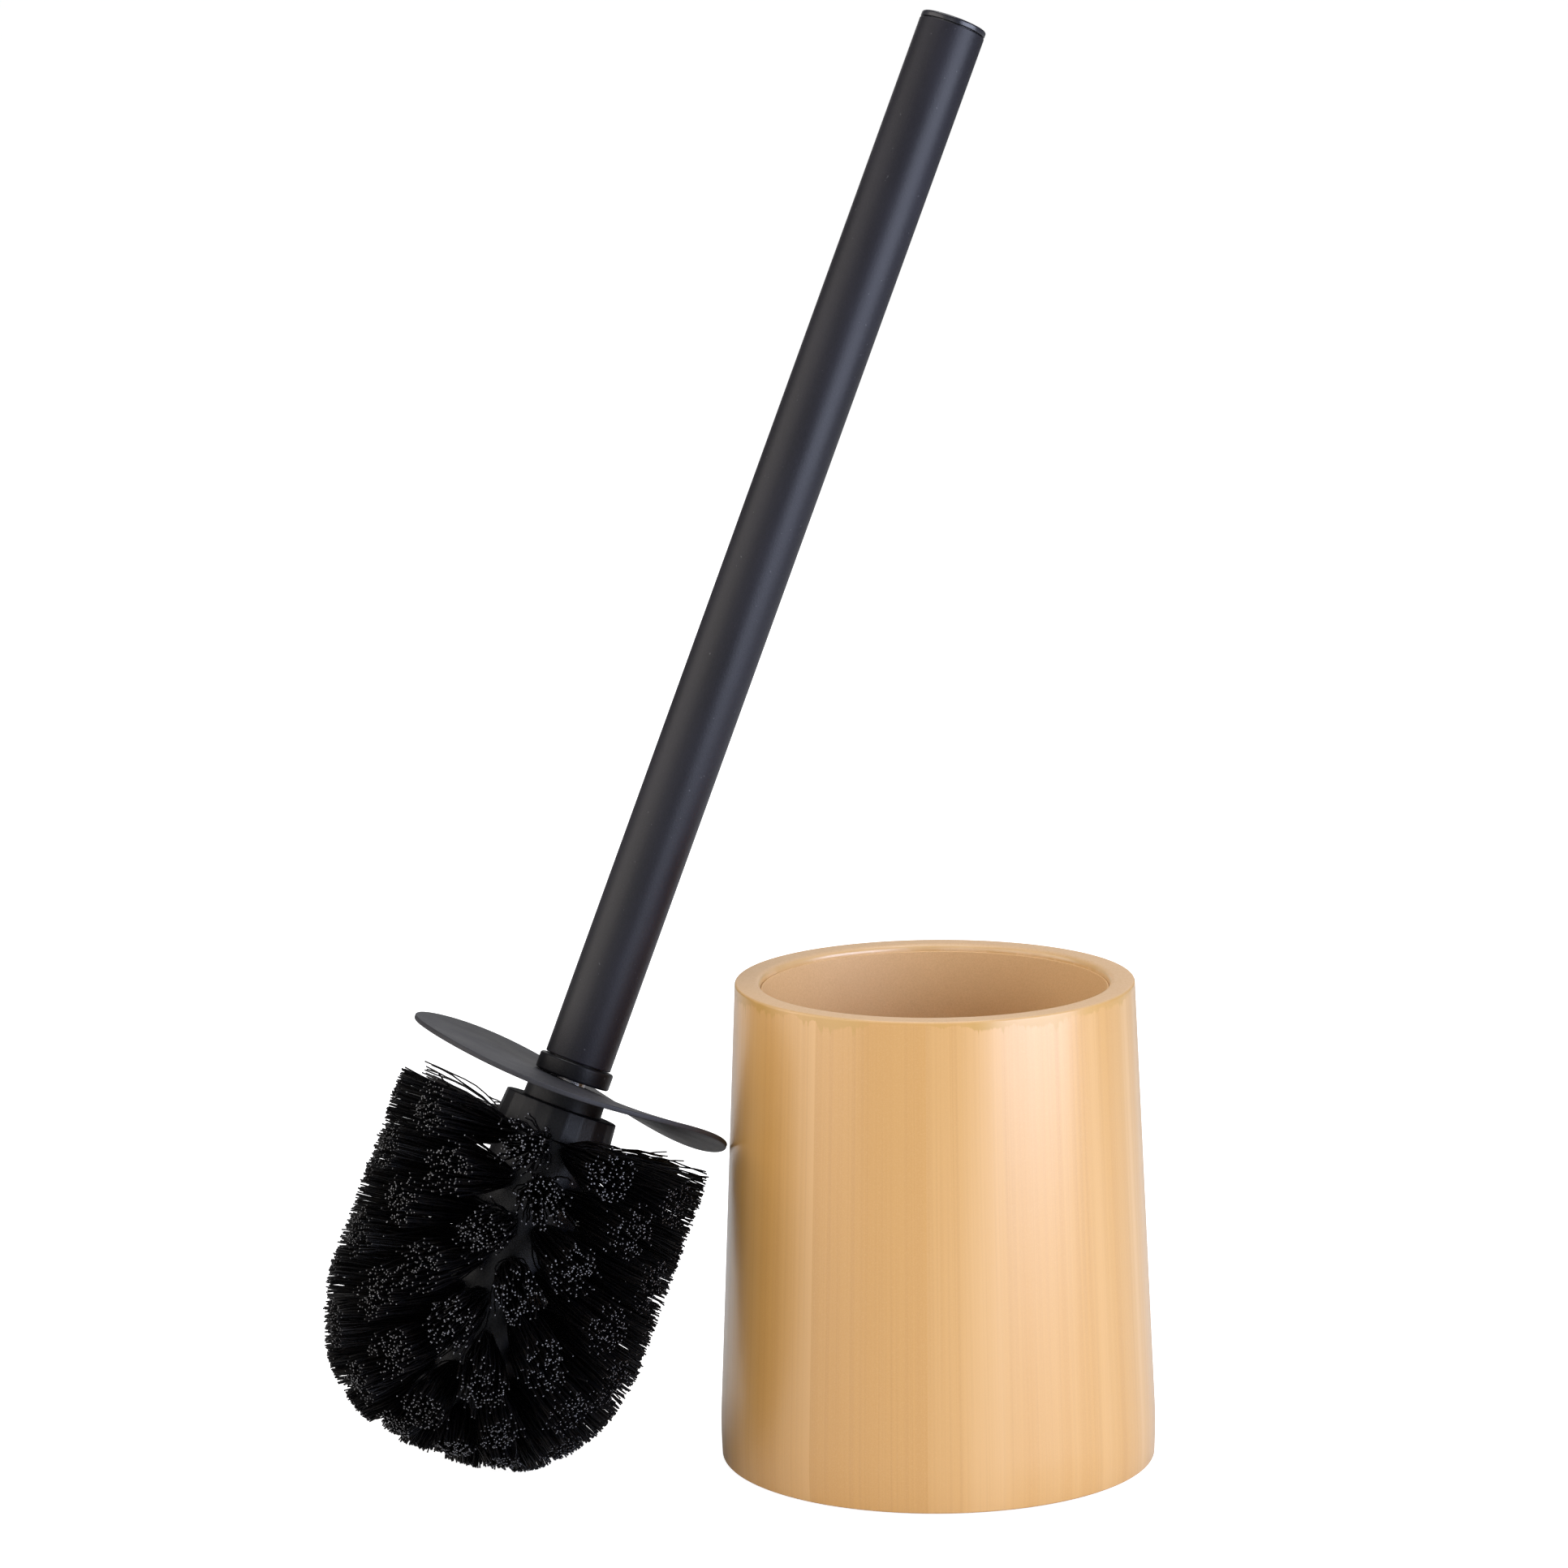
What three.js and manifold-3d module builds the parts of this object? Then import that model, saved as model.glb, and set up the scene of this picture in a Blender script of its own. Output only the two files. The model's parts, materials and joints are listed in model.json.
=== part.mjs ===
// Toilet brush with a round bamboo holder: a lacquered bamboo shell with a lift-out cup,
// and a brush with a round rod, a loose splash guard and a screw-on head of tufted bristles.
// Millimetres, +Z up. The origin is the centre of the holder's underside, at floor level.
// The brush leans beside the holder, with its guard against the shell and its head on the floor.
import * as THREE from 'three';
import { mergeVertices } from 'three/addons/utils/BufferGeometryUtils.js';
import Module from 'manifold-3d';

// Fine and coarse steps for round pieces, and the clearance between pieces that touch.
const ROUND_STEPS = 56;
const ROD_STEPS = 20;
const TUFT_STEPS = 6;
const FILLET_STEPS = 2;
const CLEARANCE = 0.3;
const UP = new THREE.Vector3(0, 0, 1);

// Holder: a slightly conical shell with a straight bore, a base disc and a thin pad.
const holder = {
  height: 128.6,
  baseRadius: 58.3,
  rimRadius: 52.6,
  boreRadius: 45.9,
  outerEdge: 0.7,
  innerEdge: 1.2,
  footEdge: 0.6,
  footBottom: 0.4,
  footPullIn: 0.75,
  footCurveHeight: 9,
  footCurveRadius: 110,
};
const base = { radius: 51, thickness: 8 };
const pad = { radius: 50.7, thickness: 1.2 };

// Cup: a thin tapered liner whose lip sits just below the holder's rim.
const cup = {
  lipBelowRim: 1.9,
  lipRadius: 45.2,
  lipWall: 0.4,
  lipTaper: 14,
  upperRadius: 43.4,
  floorRadius: 42,
  wall: 2,
  floorThickness: 2.4,
  cornerRadius: 5,
};

// Brush, measured along its own axis from just under the splash guard, up the handle.
const lean = { toRight: 20.95, toBack: 10.7 };
const brushOrigin = new THREE.Vector3(-96.95, 1.1, 100.2);
const handle = { radius: 9, wall: 0.8, top: 300.1 };
const endCap = { flangeHeight: 1.5, dome: 0.9, edge: 0.6, plugDepth: 14 };
const collar = { radius: 10.15, bottom: 2.7, top: 7.3, plugTop: 24, edge: 0.7 };
const stud = { radius: 3.9, bottom: -15, top: 19, chamfer: 0.6 };
const guard = {
  radius: 44.75,
  thickness: 1.3,
  holeRadius: 4.4,
  middle: 1.1,
  fallToRight: 3.78,
  fallToBack: 1.03,
};

// Head: a sleeve and a faceted neck on a round core, with rows of tufts that fan downwards.
const sleeve = { radius: 10.65, top: -0.6 };
const neck = { topRadius: 15.2, bottomRadius: 15.9, top: -4.9, bottom: -13.2, facets: 22 };
const core = { radius: 14.2, bottom: -90, cornerRadius: 8, boreRadius: 4.3, boreDepth: 17 };
const tufts = {
  rows: 8,
  perRow: 10,
  firstTurn: 7,
  firstRoot: -15.4,
  rootStep: 11.2,
  rootStepShrink: 0.13,
  firstDroop: 3,
  droopGrowth: 0.72,
  rootRadius: 2,
  tipRadius: 4.4,
  bandThickness: 1,
  bandHeight: 3.2,
};
// The trimmed outline of the bristle tips: straight sides, then a quarter of an ellipse.
const trim = { sideRadius: 42.5, shoulder: -62, cornerCentre: 12, cornerWidth: 30.5, cornerDepth: 37.9 };
const endTufts = { count: 5, ringRadius: 7.2, tilt: 22, centreRadius: 3.4, plateGap: 0.3, plateHeight: 1.2 };

const radians = THREE.MathUtils.degToRad;
const wasm = await Module();
wasm.setup();

/** Turns corners of [radius, height, fillet] into outline points, with an arc at each fillet. */
function roundedOutline(corners, closed) {
  const points = [];
  corners.forEach(([radius, height, fillet = 0], index) => {
    const corner = new THREE.Vector2(radius, height);
    const isEnd = !closed && (index === 0 || index === corners.length - 1);
    if (fillet === 0 || isEnd) {
      points.push(corner);
      return;
    }
    const before = corners[(index + corners.length - 1) % corners.length];
    const after = corners[(index + 1) % corners.length];
    const toBefore = new THREE.Vector2(before[0], before[1]).sub(corner).normalize();
    const toAfter = new THREE.Vector2(after[0], after[1]).sub(corner).normalize();
    const halfAngle = Math.acos(THREE.MathUtils.clamp(toBefore.dot(toAfter), -1, 1)) / 2;
    const bisector = toBefore.clone().add(toAfter).normalize();
    const centre = corner.clone().addScaledVector(bisector, fillet / Math.sin(halfAngle));
    const tangent = fillet / Math.tan(halfAngle);
    const start = corner.clone().addScaledVector(toBefore, tangent).sub(centre);
    const end = corner.clone().addScaledVector(toAfter, tangent).sub(centre);
    const sweep = Math.atan2(start.cross(end), start.dot(end));
    for (let step = 0; step <= FILLET_STEPS; step += 1) {
      const turned = start.clone().rotateAround(new THREE.Vector2(), (sweep * step) / FILLET_STEPS);
      points.push(turned.add(centre));
    }
  });
  if (closed) points.push(points[0].clone());
  return points;
}

/** Revolves an outline about +Z. Outlines run anticlockwise in the radius-height plane. */
function revolve(corners, closed, steps = ROUND_STEPS) {
  const geometry = new THREE.LatheGeometry(roundedOutline(corners, closed), steps);
  return geometry.rotateX(Math.PI / 2);
}

/** A round or faceted frustum that stands on the plane at its bottom height. */
function frustum(bottomRadius, topRadius, bottom, top, steps) {
  const geometry = new THREE.CylinderGeometry(topRadius, bottomRadius, top - bottom, steps);
  return geometry.rotateX(Math.PI / 2).translate(0, 0, (top + bottom) / 2);
}

/** Makes a solid of a closed geometry, for joining and cutting. */
function toSolid(geometry) {
  const bare = geometry.clone();
  bare.deleteAttribute('normal');
  bare.deleteAttribute('uv');
  const merged = mergeVertices(bare, 1e-4);
  return new wasm.Manifold(new wasm.Mesh({
    numProp: 3,
    vertProperties: new Float32Array(merged.attributes.position.array),
    triVerts: new Uint32Array(merged.index.array),
  }));
}

/** Makes a geometry of a solid. */
function toGeometry(solid) {
  const mesh = solid.getMesh();
  const geometry = new THREE.BufferGeometry();
  geometry.setAttribute('position', new THREE.BufferAttribute(new Float32Array(mesh.vertProperties), 3));
  geometry.setIndex(new THREE.BufferAttribute(new Uint32Array(mesh.triVerts), 1));
  geometry.computeVertexNormals();
  return geometry;
}

/** Joins closed geometries into one. */
function join(geometries) {
  const solids = geometries.map(toSolid);
  return toGeometry(solids.reduce((sum, solid) => sum.add(solid)));
}

/** Names a piece and gives it its own material. */
function piece(name, geometry, color, roughness, metalness = 0) {
  const mesh = new THREE.Mesh(geometry, new THREE.MeshStandardMaterial({ color, roughness, metalness }));
  mesh.name = name;
  return mesh;
}

/** Radius of the trimmed bristle outline at a height along the brush's axis. */
function trimRadius(height) {
  if (height >= trim.shoulder) return trim.sideRadius;
  const drop = Math.min((trim.shoulder - height) / trim.cornerDepth, 1);
  return trim.cornerCentre + trim.cornerWidth * Math.sqrt(1 - drop * drop);
}

/** Length of a tuft from its root to the trimmed outline, along its drooping direction. */
function tuftLength(rootRadius, rootHeight, droop) {
  const step = 0.1;
  let length = 0;
  let inside = true;
  while (inside) {
    length += step;
    const height = rootHeight - length * Math.sin(droop);
    const radius = rootRadius + length * Math.cos(droop);
    const aboveBottom = height > trim.shoulder - trim.cornerDepth;
    inside = aboveBottom && radius < trimRadius(height);
  }
  return length;
}

/** One tuft: a cone that widens from its root to its tip. */
function tuft(rootRadius, rootHeight, droop, angle, length) {
  const cone = new THREE.CylinderGeometry(tufts.tipRadius, tufts.rootRadius, length, TUFT_STEPS);
  cone.translate(0, length / 2, 0);
  cone.rotateZ(-Math.PI / 2 - droop);
  cone.rotateX(Math.PI / 2);
  cone.translate(rootRadius, 0, rootHeight);
  return cone.rotateZ(angle);
}

function bambooShell() {
  const inside = base.radius + CLEARANCE;
  const step = pad.thickness + base.thickness + 2 * CLEARANCE;
  const taper = (holder.baseRadius - holder.rimRadius) / holder.height;
  return revolve([
    [inside, holder.footBottom, 0],
    [holder.baseRadius - holder.footPullIn, holder.footBottom, holder.footEdge],
    [holder.baseRadius - taper * holder.footCurveHeight, holder.footCurveHeight, holder.footCurveRadius],
    [holder.rimRadius, holder.height, holder.outerEdge],
    [holder.boreRadius, holder.height, holder.innerEdge],
    [holder.boreRadius, step, 0],
    [inside, step, 0],
  ], true);
}

function baseDisc() {
  const bottom = pad.thickness + CLEARANCE;
  return revolve([
    [0, bottom],
    [base.radius, bottom],
    [base.radius, bottom + base.thickness],
    [0, bottom + base.thickness],
  ], false);
}

function antiSlipPad() {
  return revolve([
    [0, 0],
    [pad.radius, 0],
    [pad.radius, pad.thickness],
    [0, pad.thickness],
  ], false);
}

function innerCup() {
  const bottom = pad.thickness + base.thickness + 3 * CLEARANCE;
  const lip = holder.height - cup.lipBelowRim;
  return revolve([
    [0, bottom],
    [cup.floorRadius + cup.wall, bottom, cup.cornerRadius + cup.wall],
    [cup.lipRadius + cup.lipWall, lip, 0],
    [cup.lipRadius, lip, 0],
    [cup.upperRadius, lip - cup.lipTaper, 60],
    [cup.floorRadius, bottom + cup.floorThickness, cup.cornerRadius],
    [0, bottom + cup.floorThickness],
  ], false);
}

function handleTube() {
  return revolve([
    [handle.radius - handle.wall, collar.top + CLEARANCE],
    [handle.radius, collar.top + CLEARANCE],
    [handle.radius, handle.top - endCap.flangeHeight - CLEARANCE],
    [handle.radius - handle.wall, handle.top - endCap.flangeHeight - CLEARANCE],
  ], true, ROD_STEPS);
}

function handleEndCap() {
  const plugRadius = handle.radius - handle.wall - CLEARANCE;
  const flangeBottom = handle.top - endCap.flangeHeight;
  return revolve([
    [0, flangeBottom - endCap.plugDepth],
    [plugRadius, flangeBottom - endCap.plugDepth, 1],
    [plugRadius, flangeBottom, 0],
    [handle.radius, flangeBottom, 0],
    [handle.radius, handle.top, endCap.edge],
    [0, handle.top + endCap.dome],
  ], false, ROD_STEPS);
}

function handleCollar() {
  const plugRadius = handle.radius - handle.wall - CLEARANCE;
  const boreRadius = stud.radius + CLEARANCE;
  return revolve([
    [boreRadius, collar.bottom, 0],
    [collar.radius, collar.bottom, 0.3],
    [collar.radius, collar.top, collar.edge],
    [plugRadius, collar.top, 0],
    [plugRadius, collar.plugTop, 1],
    [boreRadius, collar.plugTop, 0],
  ], true, ROD_STEPS);
}

function threadedStud() {
  return revolve([
    [0, stud.bottom],
    [stud.radius - stud.chamfer, stud.bottom],
    [stud.radius, stud.bottom + stud.chamfer],
    [stud.radius, stud.top - stud.chamfer],
    [stud.radius - stud.chamfer, stud.top],
    [0, stud.top],
  ], false, ROD_STEPS);
}

function splashGuard() {
  const half = guard.thickness / 2;
  const disc = revolve([
    [guard.holeRadius, -half, 0],
    [guard.radius, -half, 0.5],
    [guard.radius, half, 0.5],
    [guard.holeRadius, half, 0],
  ], true);
  const upright = new THREE.Vector3(0, 0, 1);
  const facing = new THREE.Vector3(
    Math.tan(radians(guard.fallToRight)),
    Math.tan(radians(guard.fallToBack)),
    1,
  );
  disc.applyQuaternion(new THREE.Quaternion().setFromUnitVectors(upright, facing.normalize()));
  return disc.translate(0, 0, guard.middle);
}

function headCore() {
  const body = revolve([
    [0, core.bottom],
    [core.radius, core.bottom, core.cornerRadius],
    [core.radius, neck.top - 1, 0],
    [sleeve.radius, neck.top - 1, 0],
    [sleeve.radius, sleeve.top, 0.4],
    [0, sleeve.top],
  ], false, ROD_STEPS);
  const collarRing = frustum(neck.bottomRadius, neck.topRadius, neck.bottom, neck.top, neck.facets);
  const bore = frustum(core.boreRadius, core.boreRadius, -core.boreDepth, 1, ROD_STEPS);
  return toGeometry(toSolid(body).add(toSolid(collarRing)).subtract(toSolid(bore)));
}

/** One row: tufts around the core, joined at their roots by a thin band. */
function bristleRow(row) {
  const rootHeight = tufts.firstRoot - tufts.rootStep * row + tufts.rootStepShrink * row * row;
  const droop = radians(tufts.firstDroop + tufts.droopGrowth * row * row);
  const inner = core.radius + CLEARANCE;
  const half = tufts.bandHeight / 2;
  const band = revolve([
    [inner, rootHeight - half],
    [inner + tufts.bandThickness, rootHeight - half],
    [inner + tufts.bandThickness, rootHeight + half],
    [inner, rootHeight + half],
  ], true, ROD_STEPS);
  const rootRadius = inner + tufts.rootRadius * Math.sin(droop) + 0.2;
  const length = tuftLength(rootRadius, rootHeight, droop);
  const shapes = [band];
  for (let index = 0; index < tufts.perRow; index += 1) {
    const turn = (index + (row % 2) / 2) / tufts.perRow + tufts.firstTurn / 360;
    shapes.push(tuft(rootRadius, rootHeight, droop, 2 * Math.PI * turn, length));
  }
  return join(shapes);
}

/** The tufts on the core's lower end: a ring of tilted ones around a middle one. */
function bristleEnd() {
  const top = core.bottom - endTufts.plateGap;
  const bottom = trim.shoulder - trim.cornerDepth;
  const plate = frustum(endTufts.ringRadius, endTufts.ringRadius, top - endTufts.plateHeight, top, ROD_STEPS);
  const middle = frustum(endTufts.centreRadius, tufts.rootRadius, bottom, top - 0.5, TUFT_STEPS);
  const shapes = [plate, middle];
  const droop = Math.PI / 2 - radians(endTufts.tilt);
  const rootRadius = endTufts.ringRadius - tufts.rootRadius;
  const length = tuftLength(rootRadius, top - 0.8, droop);
  for (let index = 0; index < endTufts.count; index += 1) {
    const angle = (2 * Math.PI * index) / endTufts.count;
    shapes.push(tuft(rootRadius, top - 0.8, droop, angle, length));
  }
  return join(shapes);
}

const holderGroup = new THREE.Group();
holderGroup.add(
  piece('bamboo_shell', bambooShell(), 0xc08a4e, 0.4),
  piece('base_disc', baseDisc(), 0xb98850, 0.6),
  piece('anti_slip_pad', antiSlipPad(), 0x2a2826, 0.9),
  piece('inner_cup', innerCup(), 0xc9a37c, 0.75),
);

const brushGroup = new THREE.Group();
const up = new THREE.Vector3(Math.tan(radians(lean.toRight)), Math.tan(radians(lean.toBack)), 1);
brushGroup.position.copy(brushOrigin);
brushGroup.quaternion.setFromUnitVectors(UP, up.normalize());
brushGroup.add(
  piece('handle_tube', handleTube(), 0x1c1c1f, 0.45, 0.3),
  piece('handle_end_cap', handleEndCap(), 0x1a1a1c, 0.5),
  piece('handle_collar', handleCollar(), 0x202023, 0.55),
  piece('threaded_stud', threadedStud(), 0x8a8c8f, 0.35, 1),
  piece('splash_guard', splashGuard(), 0x3a3b40, 0.6),
  piece('head_core', headCore(), 0x2b2c31, 0.6),
);
for (let row = 0; row < tufts.rows; row += 1) {
  brushGroup.add(piece(`bristle_row_${row + 1}`, bristleRow(row), 0x0f0f11, 0.7));
}
brushGroup.add(piece('bristle_end', bristleEnd(), 0x0f0f11, 0.7));

const group = new THREE.Group();
group.add(holderGroup, brushGroup);

export default group;
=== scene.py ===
"""Toilet brush leaning beside its tapered bamboo holder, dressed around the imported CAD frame."""

import json
import logging
import math
from dataclasses import dataclass, field
from enum import Enum

import bmesh
import bpy
from mathutils import Matrix, Quaternion, Vector


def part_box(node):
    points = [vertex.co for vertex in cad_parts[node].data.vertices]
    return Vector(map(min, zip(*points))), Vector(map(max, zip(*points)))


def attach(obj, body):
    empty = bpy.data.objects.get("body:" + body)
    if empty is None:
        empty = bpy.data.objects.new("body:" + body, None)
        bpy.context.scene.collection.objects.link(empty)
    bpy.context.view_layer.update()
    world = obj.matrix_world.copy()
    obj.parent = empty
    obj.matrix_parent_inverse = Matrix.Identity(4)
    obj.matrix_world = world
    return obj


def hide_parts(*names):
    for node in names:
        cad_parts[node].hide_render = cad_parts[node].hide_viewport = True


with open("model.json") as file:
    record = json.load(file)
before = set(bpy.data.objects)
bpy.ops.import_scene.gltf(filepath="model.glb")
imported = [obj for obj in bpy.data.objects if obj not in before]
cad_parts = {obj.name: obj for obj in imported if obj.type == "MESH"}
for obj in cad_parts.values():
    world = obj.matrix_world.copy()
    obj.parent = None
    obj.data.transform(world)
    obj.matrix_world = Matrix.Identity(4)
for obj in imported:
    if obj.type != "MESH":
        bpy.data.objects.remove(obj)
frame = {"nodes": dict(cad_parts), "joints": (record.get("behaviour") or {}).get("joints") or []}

LOG = logging.getLogger("toilet_brush")
MM = 0.001
ON_AXIS = 1e-9
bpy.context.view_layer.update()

Socket = bpy.types.NodeSocket
Piece = bpy.types.Object
Material = bpy.types.Material
Value = Socket | float | int | tuple | str | bpy.types.ID


class Body(Enum):
    """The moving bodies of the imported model."""

    HOLDER = "holder"
    CUP = "cup"
    HANDLE = "brush_handle"
    GUARD = "guard"
    HEAD = "brush_head"


class Slot(Enum):
    """The record's material slots."""

    BAMBOO = "bamboo"
    CUP = "cup"
    HANDLE = "handle"
    FITTING = "handle_fitting"
    GUARD = "guard"
    CORE = "core"
    BRISTLES = "bristles"


class NodeBench:
    """Short calls for building a node tree, shared by finishes and by bristle growing."""

    def __init__(self, tree: bpy.types.NodeTree) -> None:
        """Starts on an emptied shader or geometry tree."""
        self.tree = tree
        self.tree.nodes.clear()

    def plug(self, socket: Socket, value: Value) -> None:
        """Links a socket to another one, or sets it to a constant.

        Args:
            socket: The input to feed.
            value: An output socket or a plain value.
        """
        if isinstance(value, Socket):
            self.tree.links.new(value, socket)
        else:
            socket.default_value = value

    def add(self, kind: str, inputs: dict | None = None, **settings: object) -> bpy.types.Node:
        """Adds a node.

        Args:
            kind: The node's type name.
            inputs: Input name or index to an output socket or a constant.
            **settings: Node properties to set before its inputs.

        Returns:
            The new node.
        """
        node = self.tree.nodes.new(kind)
        for name, setting in settings.items():
            setattr(node, name, setting)
        for key, value in (inputs or {}).items():
            self.plug(node.inputs[key], value)
        return node

    def first(self, kind: str, inputs: dict | None = None, **settings: object) -> Socket:
        """Adds a node and gives its first output."""
        return self.add(kind, inputs, **settings).outputs[0]

    def math(self, operation: str, *terms: Value) -> Socket:
        """One number worked out from up to three others."""
        return self.first("ShaderNodeMath", dict(enumerate(terms)), operation=operation)

    def vector(self, operation: str, *terms: Value) -> Socket:
        """One vector worked out from up to two others."""
        return self.first("ShaderNodeVectorMath", dict(enumerate(terms)), operation=operation)

    def scaled(self, vector: Value, factor: Value) -> Socket:
        """A vector times a number."""
        return self.first("ShaderNodeVectorMath", {0: vector, "Scale": factor}, operation="SCALE")

    def total(self, *vectors: Value) -> Socket:
        """The sum of several vectors.

        Args:
            *vectors: The vectors.

        Returns:
            The sum's socket.
        """
        result = vectors[0]
        for vector in vectors[1:]:
            result = self.vector("ADD", result, vector)
        return result

    def combine(self, x: Value, y: Value, z: Value) -> Socket:
        """A vector from three numbers."""
        return self.first("ShaderNodeCombineXYZ", {0: x, 1: y, 2: z})

    def remap(self, value: Value, span: tuple[float, float], onto: tuple[float, float] = (0.0, 1.0),
              smooth: bool = False) -> Socket:
        """Maps one range of a number onto another, held at both ends.

        Args:
            value: The number to map.
            span: Its low and high ends.
            onto: What those ends become.
            smooth: Whether to ease in and out.

        Returns:
            The mapped number's socket.
        """
        easing = "SMOOTHSTEP" if smooth else "LINEAR"
        inputs = {0: value, 1: span[0], 2: span[1], 3: onto[0], 4: onto[1]}
        return self.first("ShaderNodeMapRange", inputs, interpolation_type=easing)


class Finish(NodeBench):
    """A material under construction: a Principled shader and the nodes that feed it."""

    def __init__(self, name: str, roughness: float, specular: float = 0.5) -> None:
        """Starts a material.

        Args:
            name: The material's name.
            roughness: Its even roughness, which a pattern may replace.
            specular: The strength of its plain reflection.
        """
        self.material = bpy.data.materials.new(name)
        self.material.use_nodes = True
        super().__init__(self.material.node_tree)
        self.shader = self.add("ShaderNodeBsdfPrincipled")
        output = self.add("ShaderNodeOutputMaterial")
        self.plug(output.inputs["Surface"], self.shader.outputs["BSDF"])
        self.set("Roughness", roughness)
        self.set("Specular IOR Level", specular)
        self.place = self.add("ShaderNodeTexCoord").outputs["Object"]

    def set(self, name: str, value: Value) -> None:
        """Feeds one of the shader's inputs."""
        self.plug(self.shader.inputs[name], value)

    def seen_from(self, origin: Vector, turn: Quaternion) -> None:
        """Measures the pattern in a piece's own frame instead of the row's."""
        inputs = {"Vector": self.place, "Location": tuple(origin), "Rotation": tuple(turn.to_euler())}
        self.place = self.first("ShaderNodeMapping", inputs, vector_type="TEXTURE")

    def split(self) -> tuple[Socket, Socket, Socket]:
        """The place's three coordinates."""
        node = self.add("ShaderNodeSeparateXYZ", {0: self.place})
        return node.outputs[0], node.outputs[1], node.outputs[2]

    def noise(self, scale: float, stretch: Value = (1.0, 1.0, 1.0), detail: float = 3.0,
              roughness: float = 0.5, place: Value | None = None) -> Socket:
        """Noise about 0.5, in features per metre.

        Args:
            scale: Features per metre.
            stretch: How much denser it is along each axis.
            detail: Levels of finer noise.
            roughness: How strong those are.
            place: Where to read it, if not at the piece's own place.

        Returns:
            The noise's socket.
        """
        spot = self.vector("MULTIPLY", self.place if place is None else place, stretch)
        inputs = {"Vector": spot, "Scale": scale, "Detail": detail, "Roughness": roughness}
        return self.add("ShaderNodeTexNoise", inputs).outputs["Fac"]

    def blend(self, first: Value, second: Value, share: Value) -> Socket:
        """Mixes two colours.

        Args:
            first: The colour at share 0.
            second: The colour at share 1.
            share: How much of the second.

        Returns:
            The mixed colour's socket.
        """
        node = self.add("ShaderNodeMix", data_type="RGBA")
        colours = [socket for socket in node.inputs if socket.type == "RGBA"]
        self.plug(node.inputs["Factor"], share)
        self.plug(colours[0], first)
        self.plug(colours[1], second)
        return next(socket for socket in node.outputs if socket.type == "RGBA")

    def wash(self, under: Value, over: Value, pattern: Value, span: tuple[float, float],
             strength: float = 1.0) -> Socket:
        """Lays one colour over another where a pattern is strong."""
        return self.blend(under, over, self.remap(pattern, span, (0.0, strength)))

    def raise_surface(self, height: Value, strength: float, depth: float) -> None:
        """Adds relief: a pattern from 0 to 1, how much of it shows, and its depth in metres."""
        inputs = {"Height": height, "Strength": strength, "Distance": depth}
        self.set("Normal", self.first("ShaderNodeBump", inputs))


def colour(red: float, green: float, blue: float) -> tuple[float, float, float, float]:
    """An opaque linear colour."""
    return (red, green, blue, 1.0)


@dataclass(frozen=True)
class BrushFrame:
    """The brush's own frame: its origin in the guard, its +Z up the handle."""

    origin: Vector
    turn: Quaternion

    @classmethod
    def from_joint(cls, name: str) -> "BrushFrame":
        """Reads the frame from a hinge on the brush's axis.

        Args:
            name: The hinge's name.

        Returns:
            The brush's frame.
        """
        joint = next(joint for joint in frame["joints"] if joint["name"] == name)
        axis = Vector(joint["axis"]).normalized()
        return cls(Vector(joint["pos_m"]), Vector((0, 0, 1)).rotation_difference(axis))

    @property
    def matrix(self) -> Matrix:
        """The move from the brush's frame to the row's."""
        return Matrix.Translation(self.origin) @ self.turn.to_matrix().to_4x4()

    def heights(self, node: str) -> tuple[float, float]:
        """The lowest and highest point of a CAD node along the brush's axis.

        Args:
            node: The node's name.

        Returns:
            Both heights in millimetres, from the guard's middle.
        """
        back = self.matrix.inverted()
        along = [(back @ vertex.co).z for vertex in frame["nodes"][node].data.vertices]
        return min(along) / MM, max(along) / MM


Corner = tuple[float, float, float]


def arc_outline(corners: list[Corner], closed: bool, steps: int = 8) -> list[tuple[float, float]]:
    """Turns corners with fillets into the points of an outline.

    Args:
        corners: Radius, height and fillet radius of each corner.
        closed: Whether the outline closes on itself.
        steps: Steps in each fillet.

    Returns:
        The outline's points as radius and height.
    """
    points: list[tuple[float, float]] = []
    count = len(corners)
    for index, (radius, height, fillet) in enumerate(corners):
        at_end = not closed and index in (0, count - 1)
        corner = Vector((radius, height))
        if fillet <= 0 or at_end:
            points.append((radius, height))
            continue
        before = (Vector(corners[index - 1][:2]) - corner).normalized()
        after = (Vector(corners[(index + 1) % count][:2]) - corner).normalized()
        half = math.acos(max(-1.0, min(1.0, before.dot(after)))) / 2
        centre = corner + (before + after).normalized() * (fillet / math.sin(half))
        tangent = fillet / math.tan(half)
        start = corner + before * tangent - centre
        end = corner + after * tangent - centre
        sweep = math.atan2(start.x * end.y - start.y * end.x, start.dot(end))
        for step in range(steps + 1):
            angle = sweep * step / steps
            turned = Matrix.Rotation(angle, 2) @ start + centre
            points.append((turned.x, turned.y))
    return points


def add_object(name: str, data: bpy.types.ID) -> Piece:
    """Puts a new object into the scene.

    Args:
        name: The object's name.
        data: Its mesh, light or camera.

    Returns:
        The new object.
    """
    made = bpy.data.objects.new(name, data)
    bpy.context.scene.collection.objects.link(made)
    return made


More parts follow.
